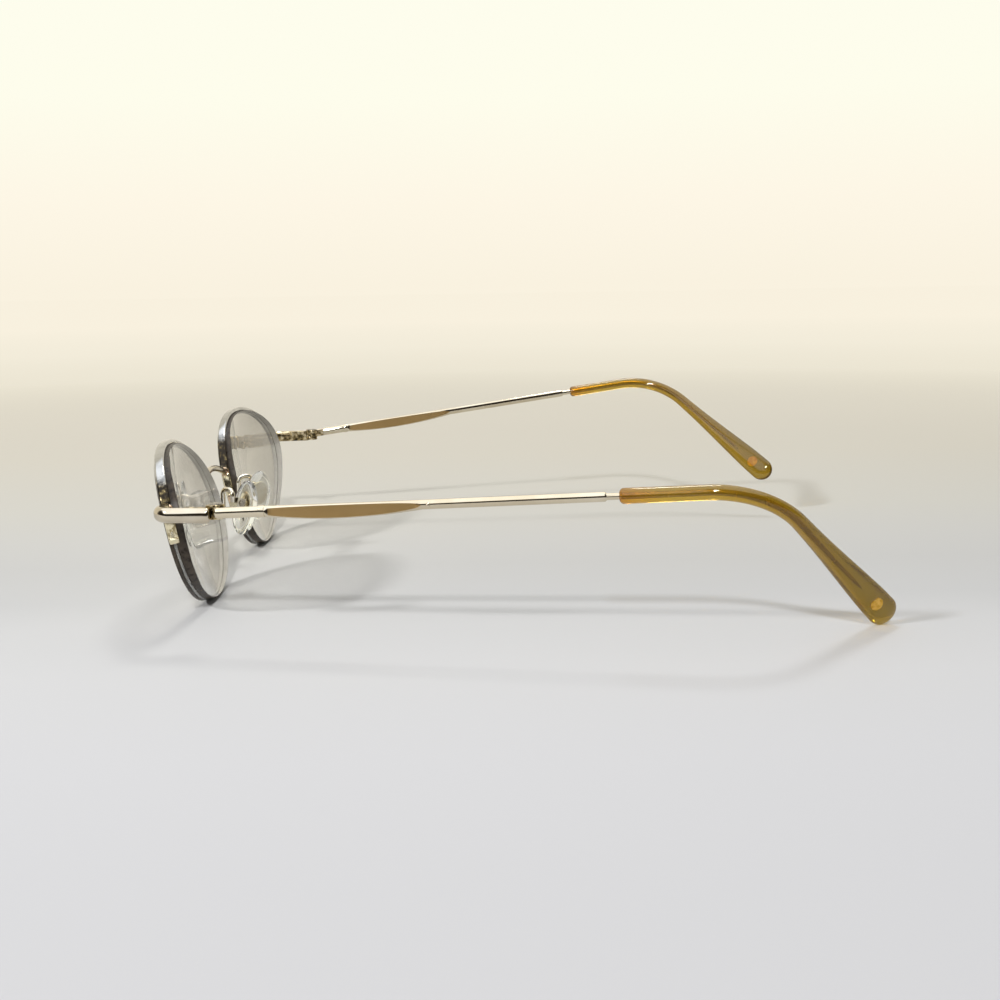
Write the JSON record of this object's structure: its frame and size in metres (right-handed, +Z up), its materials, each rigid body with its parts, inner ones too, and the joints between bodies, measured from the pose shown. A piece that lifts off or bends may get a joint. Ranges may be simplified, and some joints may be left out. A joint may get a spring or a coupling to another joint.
{
  "type": "oval eyeglasses",
  "caption": "Half-rim oval eyeglasses: thick lenses held by a metal upper rim and a clear cord below, rocking nose pads, and slim folding temples with amber tips.",
  "frame": {"origin": "on the flat surface that the open glasses lie on, under the middle of the whole in X and Y", "axes": "+X to the wearer's left, +Y from the lenses back along the temples, +Z up"},
  "size_m": [0.1617, 0.1438, 0.0367],
  "materials": {
    "rim_metal": "polished, warm silver plating",
    "temple_metal": "pale gold, polished edges with a satin tan flat",
    "hinge_metal": "satin",
    "arm_metal": "polished",
    "screw_metal": "satin",
    "dot_metal": "polished gold",
    "lens": "clear with a light grey-beige tint and dark ground edges",
    "nylon": "clear nylon",
    "liner": "dark plastic liner",
    "pad": "clear soft plastic",
    "tip": "translucent amber to olive, glossy"
  },
  "bodies": {
    "front": {"bridge": "rim_metal", "left_rim": "rim_metal", "left_rim_liner": "liner", "left_nylon_cord": "nylon", "left_lens": "lens", "left_endpiece": "rim_metal", "left_front_hinge": "hinge_metal", "left_hinge_screw": "screw_metal", "left_pad_arm": "arm_metal", "left_pad_box": "arm_metal", "left_pad_screw": "screw_metal", "right_rim": "rim_metal", "right_rim_liner": "liner", "right_nylon_cord": "nylon", "right_lens": "lens", "right_endpiece": "rim_metal", "right_front_hinge": "hinge_metal", "right_hinge_screw": "screw_metal", "right_pad_arm": "arm_metal", "right_pad_box": "arm_metal", "right_pad_screw": "screw_metal"},
    "left_temple_arm": {"left_temple": "temple_metal", "left_temple_tip": "tip", "left_tip_dot": "dot_metal", "left_temple_hinge": "hinge_metal"},
    "left_pad": {"left_nose_pad": "pad", "left_pad_core": "hinge_metal"},
    "right_temple_arm": {"right_temple": "temple_metal", "right_temple_tip": "tip", "right_tip_dot": "dot_metal", "right_temple_hinge": "hinge_metal"},
    "right_pad": {"right_nose_pad": "pad", "right_pad_core": "hinge_metal"}
  },
  "joints": [
    {"name": "left_temple_fold", "type": "hinge", "parent": "front", "child": "left_temple_arm", "pos_m": [0.06298, -0.05484, 0.02373], "axis": [0, 0, 1], "range_deg": [0, 90]},
    {"name": "right_temple_fold", "type": "hinge", "parent": "front", "child": "right_temple_arm", "pos_m": [-0.06298, -0.05484, 0.02373], "axis": [0, 0, 1], "range_deg": [-90, 0]},
    {"name": "left_pad_rock", "type": "hinge", "parent": "front", "child": "left_pad", "pos_m": [0.01029, -0.06133, 0.01677], "axis": [-0.5736, -0.8192, 0], "range_deg": [-8, 8]},
    {"name": "right_pad_rock", "type": "hinge", "parent": "front", "child": "right_pad", "pos_m": [-0.01029, -0.06133, 0.01677], "axis": [0.5736, -0.8192, 0], "range_deg": [-8, 8]}
  ]
}
